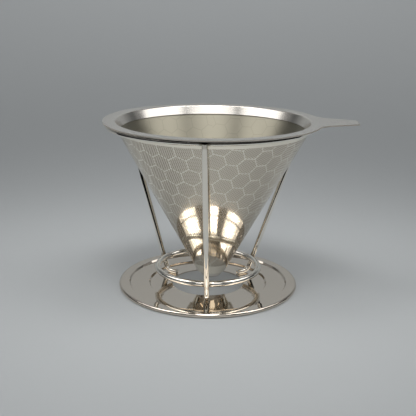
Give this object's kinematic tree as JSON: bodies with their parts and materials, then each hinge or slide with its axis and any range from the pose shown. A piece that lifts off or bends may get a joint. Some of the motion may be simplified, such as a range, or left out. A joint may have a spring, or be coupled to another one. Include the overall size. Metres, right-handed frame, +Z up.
{
  "type": "pour over coffee dripper",
  "caption": "Reusable steel cone filter with a flat rim and handle tab, lifting out of a welded wire stand with a round dished base plate and a central drain hole.",
  "frame": {"origin": "centre of the base plate's drain hole, on the surface that the stand rests on", "axes": "+Z up along the stand's axis; +X towards the handle tab; -Y is the side of the front leg"},
  "size_m": [0.1451, 0.1252, 0.0993],
  "materials": {
    "satin_steel": "satin stainless steel sheet, 0.7 mm",
    "perforated_sheet": "polished stainless steel sheet with fine etched holes in hexagonal cells",
    "woven_mesh": "fine woven stainless steel mesh",
    "polished_wire": "electropolished stainless steel wire",
    "polished_plate": "polished pressed stainless steel plate"
  },
  "bodies": {
    "stand": {"base_plate": "polished_plate", "lower_ring": "polished_wire", "leg_front": "polished_wire", "leg_left": "polished_wire", "leg_right": "polished_wire", "top_ring": "polished_wire"},
    "filter": {"rim": "satin_steel", "outer_cone": "perforated_sheet", "inner_cone": "woven_mesh", "tip_cup": "satin_steel"}
  },
  "joints": [
    {"name": "filter_lift", "type": "slide", "parent": "stand", "child": "filter", "axis": [0, 0, 1], "range_m": [0, 0.105]}
  ]
}
